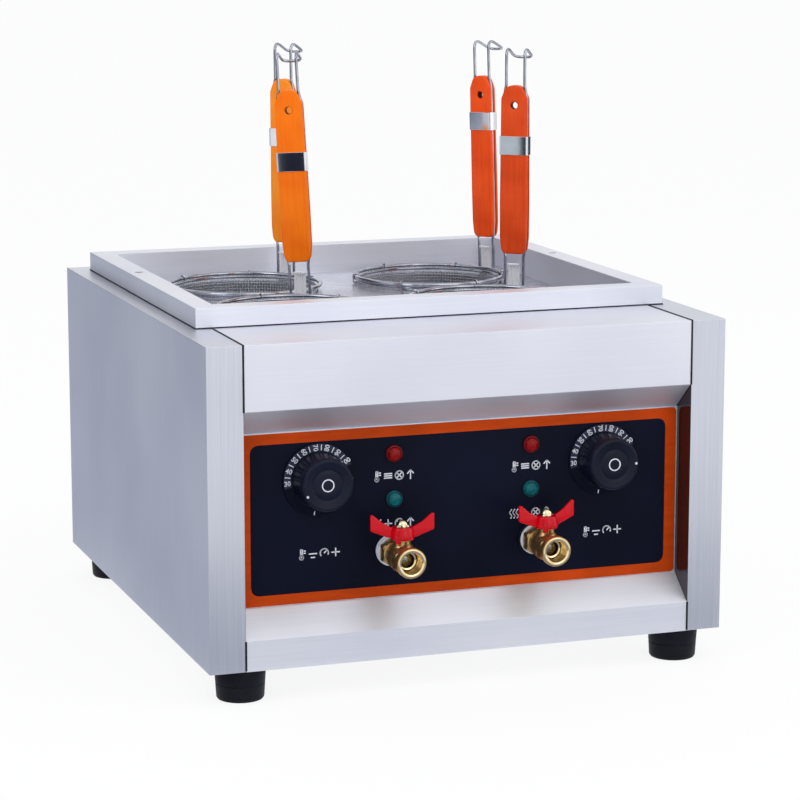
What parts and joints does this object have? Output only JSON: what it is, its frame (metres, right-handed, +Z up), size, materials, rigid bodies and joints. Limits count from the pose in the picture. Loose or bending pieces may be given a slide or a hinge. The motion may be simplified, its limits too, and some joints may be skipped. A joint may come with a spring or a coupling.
{
  "type": "pasta cooker",
  "caption": "Countertop electric pasta cooker with boiling tanks under a raised rim, lift-out strainer baskets, thermostat knobs, pilot lamps and ball valve drains.",
  "frame": {"origin": "centre of the overall box, at the height of the feet's undersides", "axes": "+X to the right seen from the control panel, +Y to the back, +Z up"},
  "size_m": [0.5, 0.5948, 0.5627],
  "materials": {
    "steel": "satin folded stainless sheet",
    "inner_steel": "dull stainless sheet and tube",
    "polished_steel": "bright stainless wire and spun mesh",
    "brass": "turned and forged brass",
    "red_vinyl": "dipped red vinyl",
    "overlay": "printed film, dark field in an orange border",
    "black_plastic": "moulded black plastic",
    "black_rubber": "moulded rubber",
    "white_plastic": "white sealing washer",
    "terminal_ceramic": "fired ceramic",
    "red_lens": "red lamp lens",
    "green_lens": "green lamp lens",
    "orange_paint": "orange painted wood",
    "rust_paint": "red-orange painted wood"
  },
  "bodies": {
    "housing": {"left_side_panel": "steel", "right_side_panel": "steel", "rear_panel": "steel", "front_fascia": "steel", "control_panel": "steel", "tank_rim": "steel", "base_tray": "inner_steel", "panel_overlay": "overlay", "tank_left": "inner_steel", "heating_element_left": "inner_steel", "thermostat_left": "inner_steel", "drain_pipe_left": "inner_steel", "valve_gasket_left": "black_rubber", "valve_washer_left": "white_plastic", "dial_left": "black_plastic", "red_lamp_left": "red_lens", "green_lamp_left": "green_lens", "valve_body_left": "brass", "tank_right": "inner_steel", "heating_element_right": "inner_steel", "thermostat_right": "inner_steel", "drain_pipe_right": "inner_steel", "valve_gasket_right": "black_rubber", "valve_washer_right": "white_plastic", "dial_right": "black_plastic", "red_lamp_right": "red_lens", "green_lamp_right": "green_lens", "valve_body_right": "brass", "foot_front_left": "black_rubber", "foot_front_right": "black_rubber", "foot_rear_left": "black_rubber", "foot_rear_right": "black_rubber", "cable_gland": "black_plastic", "terminal_block": "terminal_ceramic"},
    "deck": {"basket_deck": "steel"},
    "basket_front_left": {"basket_bowl_front_left": "polished_steel", "basket_frame_front_left": "polished_steel", "grip_front_left": "orange_paint", "ferrule_front_left": "polished_steel"},
    "basket_front_right": {"basket_bowl_front_right": "polished_steel", "basket_frame_front_right": "polished_steel", "grip_front_right": "rust_paint", "ferrule_front_right": "polished_steel"},
    "basket_rear_left": {"basket_bowl_rear_left": "polished_steel", "basket_frame_rear_left": "polished_steel", "grip_rear_left": "orange_paint", "ferrule_rear_left": "polished_steel"},
    "basket_rear_right": {"basket_bowl_rear_right": "polished_steel", "basket_frame_rear_right": "polished_steel", "grip_rear_right": "rust_paint", "ferrule_rear_right": "polished_steel"},
    "knob_left": {"knob_left": "black_plastic"},
    "valve_left": {"valve_ball_left": "polished_steel", "valve_lever_left": "red_vinyl", "valve_nut_left": "brass"},
    "knob_right": {"knob_right": "black_plastic"},
    "valve_right": {"valve_ball_right": "polished_steel", "valve_lever_right": "red_vinyl", "valve_nut_right": "brass"}
  },
  "joints": [
    {"name": "deck_lift", "type": "slide", "parent": "housing", "child": "deck", "axis": [0, 0, 1], "range_m": [0, 0.16]},
    {"name": "basket_lift_front_left", "type": "slide", "parent": "deck", "child": "basket_front_left", "axis": [0, 0, 1], "range_m": [0, 0.18]},
    {"name": "basket_lift_front_right", "type": "slide", "parent": "deck", "child": "basket_front_right", "axis": [0, 0, 1], "range_m": [0, 0.18]},
    {"name": "basket_lift_rear_left", "type": "slide", "parent": "deck", "child": "basket_rear_left", "axis": [0, 0, 1], "range_m": [0, 0.18]},
    {"name": "basket_lift_rear_right", "type": "slide", "parent": "deck", "child": "basket_rear_right", "axis": [0, 0, 1], "range_m": [0, 0.18]},
    {"name": "knob_turn_left", "type": "hinge", "parent": "housing", "child": "knob_left", "pos_m": [-0.139, -0.2545, 0.1965], "axis": [0, 1, 0], "range_deg": [0, 270]},
    {"name": "knob_turn_right", "type": "hinge", "parent": "housing", "child": "knob_right", "pos_m": [0.139, -0.2545, 0.1965], "axis": [0, 1, 0], "range_deg": [-205, 65]},
    {"name": "valve_turn_left", "type": "hinge", "parent": "housing", "child": "valve_left", "pos_m": [-0.07, -0.27065, 0.126], "axis": [0, 0, 1], "range_deg": [-72, 18]},
    {"name": "valve_turn_right", "type": "hinge", "parent": "housing", "child": "valve_right", "pos_m": [0.07, -0.27065, 0.126], "axis": [0, 0, 1], "range_deg": [-90, 0]}
  ]
}
